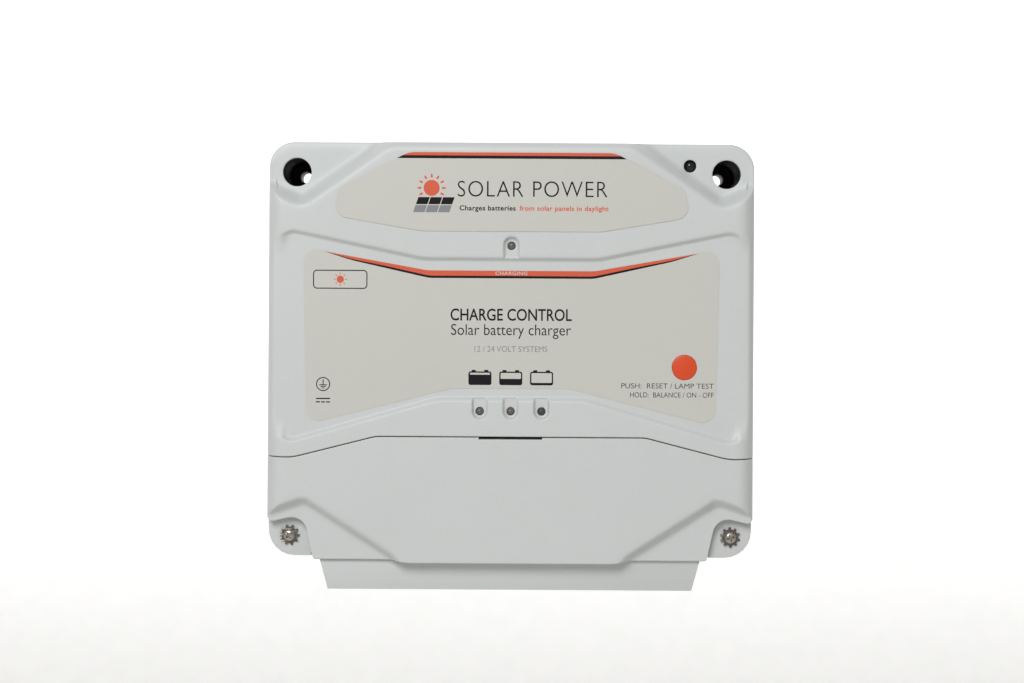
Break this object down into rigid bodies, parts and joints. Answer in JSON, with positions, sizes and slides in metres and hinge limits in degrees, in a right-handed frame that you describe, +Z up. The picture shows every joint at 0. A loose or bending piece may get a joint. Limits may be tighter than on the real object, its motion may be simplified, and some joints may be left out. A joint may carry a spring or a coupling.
{
  "type": "solar charge controller",
  "caption": "Wall-mounted solar charge controller: sculpted grey front with labels, button and lights, a lift-off wiring cover, cable duct and finned heat sink.",
  "frame": {"origin": "centre of the four wall screw holes, on the wall plane behind the heat sink", "axes": "+Z up the wall, +X to the right of a person facing the front, +Y into the wall, so the front faces -Y"},
  "size_m": [0.201, 0.07, 0.185],
  "materials": {
    "case_plastic": "light grey moulded polycarbonate blend, fine spark-eroded grain",
    "label_film": "back-printed polyester label film, satin",
    "black_aluminium": "black anodised die casting",
    "sleeve_plastic": "black moulded nylon",
    "button_plastic": "orange-red moulded cap, semi-gloss",
    "switch_plastic": "black thermoset",
    "lens_plastic": "diffused epoxy lens, unlit",
    "sensor_resin": "black epoxy bead",
    "circuit_board": "glass epoxy with green solder mask",
    "brass": "turned brass",
    "plated_steel": "nickel plated steel",
    "connector_plastic": "black glass-filled nylon",
    "ferrite": "coated iron powder core",
    "copper_wire": "enamelled copper wire",
    "capacitor_sleeve": "shrunk sleeve over an aluminium can",
    "transistor_epoxy": "moulded black epoxy with a tinned tab",
    "thermal_pad": "filled silicone sheet",
    "terminal_plastic": "dark glass-filled nylon",
    "green_plastic": "green nylon",
    "gold_contact": "gold flashed phosphor bronze",
    "red_plastic": "red thermoplastic",
    "slider_plastic": "white acetal"
  },
  "bodies": {
    "case": {"heat_sink": "black_aluminium", "top_cover": "case_plastic", "wiring_tray": "case_plastic", "upper_label": "label_film", "main_label": "label_film", "mount_sleeve_1": "sleeve_plastic", "mount_sleeve_2": "sleeve_plastic", "mount_sleeve_3": "sleeve_plastic", "mount_sleeve_4": "sleeve_plastic", "button_switch": "switch_plastic", "charge_led": "lens_plastic", "battery_led_1": "lens_plastic", "battery_led_2": "lens_plastic", "battery_led_3": "lens_plastic", "ambient_sensor": "sensor_resin", "control_board": "circuit_board", "power_board": "circuit_board", "lower_standoffs": "brass", "upper_standoffs": "brass", "board_screws": "plated_steel", "board_connector": "connector_plastic", "inductor_core_1": "ferrite", "inductor_core_2": "ferrite", "inductor_winding_1": "copper_wire", "inductor_winding_2": "copper_wire", "input_capacitors": "capacitor_sleeve", "output_capacitors": "capacitor_sleeve", "power_transistors": "transistor_epoxy", "transistor_clips": "plated_steel", "clip_screws": "plated_steel", "thermal_pads": "thermal_pad", "power_terminal_1": "terminal_plastic", "power_terminal_2": "terminal_plastic", "power_terminal_3": "terminal_plastic", "power_terminal_4": "terminal_plastic", "power_terminal_5": "terminal_plastic", "power_terminal_6": "terminal_plastic", "terminal_clamps": "plated_steel", "terminal_screws": "plated_steel", "sense_terminal": "green_plastic", "sense_screws": "plated_steel", "meter_port": "connector_plastic", "meter_contacts": "gold_contact", "settings_switch": "red_plastic", "earth_screws": "plated_steel", "star_washers": "plated_steel", "cover_screws": "plated_steel"},
    "cover": {"wiring_cover": "case_plastic"},
    "button": {"push_button": "button_plastic", "switch_plunger": "switch_plastic"},
    "slider_1": {"switch_slider_1": "slider_plastic"},
    "slider_2": {"switch_slider_2": "slider_plastic"},
    "slider_3": {"switch_slider_3": "slider_plastic"},
    "slider_4": {"switch_slider_4": "slider_plastic"}
  },
  "joints": [
    {"name": "cover_lift", "type": "slide", "parent": "case", "child": "cover", "axis": [0, -1, 0], "range_m": [0, 0.08]},
    {"name": "button_press", "type": "slide", "parent": "case", "child": "button", "axis": [0, 1, 0], "range_m": [0, 0.0008], "stiffness_N_per_m": 1500},
    {"name": "slider_1_set", "type": "slide", "parent": "case", "child": "slider_1", "axis": [0, 0, 1], "range_m": [0, 0.0018]},
    {"name": "slider_2_set", "type": "slide", "parent": "case", "child": "slider_2", "axis": [0, 0, 1], "range_m": [0, 0.0018]},
    {"name": "slider_3_set", "type": "slide", "parent": "case", "child": "slider_3", "axis": [0, 0, 1], "range_m": [0, 0.0018]},
    {"name": "slider_4_set", "type": "slide", "parent": "case", "child": "slider_4", "axis": [0, 0, 1], "range_m": [0, 0.0018]}
  ]
}
